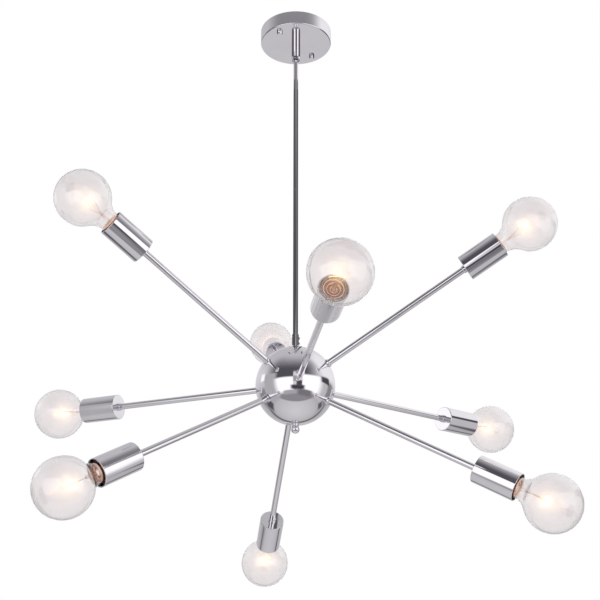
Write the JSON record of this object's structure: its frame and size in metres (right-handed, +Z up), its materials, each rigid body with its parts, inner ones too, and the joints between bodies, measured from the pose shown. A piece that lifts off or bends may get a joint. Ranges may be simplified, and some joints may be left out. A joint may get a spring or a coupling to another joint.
{
  "type": "multi arm chandelier",
  "caption": "Chrome chandelier with straight arms in tiered rings on a ball hub, round socket cups and clear globe bulbs, hung on a jointed down rod from a swivel canopy.",
  "frame": {"origin": "centre of the ceiling plane, where the crossbar's top face and the canopy's rim meet the ceiling", "axes": "+Z up, out of the ceiling face; -Y is the way the front middle arm points; +X to the right of it"},
  "size_m": [0.8074, 0.8691, 0.8815],
  "materials": {
    "chrome": "polished",
    "steel": "zinc plated",
    "brass": "plain",
    "glass": "clear",
    "insulator": "moulded"
  },
  "bodies": {
    "ceiling_mount": {"canopy": "chrome", "crossbar": "steel", "canopy_studs": "steel", "canopy_thumb_nuts": "chrome", "ground_screw": "steel", "hanger_plug": "steel", "stem_lock_nut": "steel", "hanger_sleeve": "chrome"},
    "swivel_seat": {"swivel_seat": "brass"},
    "fixture": {"swivel_ball": "steel", "upper_rod": "chrome", "lower_rod": "chrome", "rod_joiner": "steel", "hub_coupler": "chrome", "coupler_set_screws": "steel", "hub_upper_shell": "chrome", "hub_lower_shell": "chrome", "hub_tie_tube": "steel", "finial": "chrome", "arm_collars": "chrome", "arm_lock_nuts": "steel", "lamp_holders": "insulator", "screw_shells": "brass", "centre_contacts": "brass", "arm_upper_left": "chrome", "arm_upper_right": "chrome", "arm_upper_back": "chrome", "arm_middle_front": "chrome", "arm_middle_right": "chrome", "arm_middle_left": "chrome", "arm_lower_left": "chrome", "arm_lower_right": "chrome", "arm_lower_back": "chrome", "cup_upper_left": "chrome", "cup_upper_right": "chrome", "cup_upper_back": "chrome", "cup_middle_front": "chrome", "cup_middle_right": "chrome", "cup_middle_left": "chrome", "cup_lower_left": "chrome", "cup_lower_right": "chrome", "cup_lower_back": "chrome"},
    "bulb_upper_left": {"bulb_glass_upper_left": "glass", "bulb_core_upper_left": "brass"},
    "bulb_upper_right": {"bulb_glass_upper_right": "glass", "bulb_core_upper_right": "brass"},
    "bulb_upper_back": {"bulb_glass_upper_back": "glass", "bulb_core_upper_back": "brass"},
    "bulb_middle_front": {"bulb_glass_middle_front": "glass", "bulb_core_middle_front": "brass"},
    "bulb_middle_right": {"bulb_glass_middle_right": "glass", "bulb_core_middle_right": "brass"},
    "bulb_middle_left": {"bulb_glass_middle_left": "glass", "bulb_core_middle_left": "brass"},
    "bulb_lower_left": {"bulb_glass_lower_left": "glass", "bulb_core_lower_left": "brass"},
    "bulb_lower_right": {"bulb_glass_lower_right": "glass", "bulb_core_lower_right": "brass"},
    "bulb_lower_back": {"bulb_glass_lower_back": "glass", "bulb_core_lower_back": "brass"}
  },
  "joints": [
    {"name": "hanger_spin", "type": "hinge", "parent": "ceiling_mount", "child": "swivel_seat", "pos_m": [0, 0, -0.0475], "axis": [0, 0, 1], "continuous": true},
    {"name": "hanger_tilt", "type": "hinge", "parent": "swivel_seat", "child": "fixture", "pos_m": [0, 0, -0.0475], "axis": [1, 0, 0], "range_deg": [-15, 15]},
    {"name": "bulb_upper_left_turn", "type": "hinge", "parent": "fixture", "child": "bulb_upper_left", "pos_m": [-0.31965, -0.18455, -0.43559], "axis": [-0.7611, -0.4394, 0.4772], "continuous": true},
    {"name": "bulb_upper_right_turn", "type": "hinge", "parent": "fixture", "child": "bulb_upper_right", "pos_m": [0.31965, -0.18455, -0.43559], "axis": [0.7611, -0.4394, 0.4772], "continuous": true},
    {"name": "bulb_upper_back_turn", "type": "hinge", "parent": "fixture", "child": "bulb_upper_back", "pos_m": [0, 0.3691, -0.43559], "axis": [0, 0.8788, 0.4772], "continuous": true},
    {"name": "bulb_middle_front_turn", "type": "hinge", "parent": "fixture", "child": "bulb_middle_front", "pos_m": [0, -0.41998, -0.63233], "axis": [0, -1, 0.0087], "continuous": true},
    {"name": "bulb_middle_right_turn", "type": "hinge", "parent": "fixture", "child": "bulb_middle_right", "pos_m": [0.36372, 0.20999, -0.63233], "axis": [0.866, 0.5, 0.0087], "continuous": true},
    {"name": "bulb_middle_left_turn", "type": "hinge", "parent": "fixture", "child": "bulb_middle_left", "pos_m": [-0.36372, 0.20999, -0.63233], "axis": [-0.866, 0.5, 0.0087], "continuous": true},
    {"name": "bulb_lower_left_turn", "type": "hinge", "parent": "fixture", "child": "bulb_lower_left", "pos_m": [-0.31329, -0.18974, -0.84154], "axis": [-0.7459, -0.4518, -0.4894], "continuous": true},
    {"name": "bulb_lower_right_turn", "type": "hinge", "parent": "fixture", "child": "bulb_lower_right", "pos_m": [0.32096, -0.17645, -0.84154], "axis": [0.7642, -0.4201, -0.4894], "continuous": true},
    {"name": "bulb_lower_back_turn", "type": "hinge", "parent": "fixture", "child": "bulb_lower_back", "pos_m": [-0.00767, 0.36619, -0.84154], "axis": [-0.0183, 0.8719, -0.4894], "continuous": true}
  ]
}
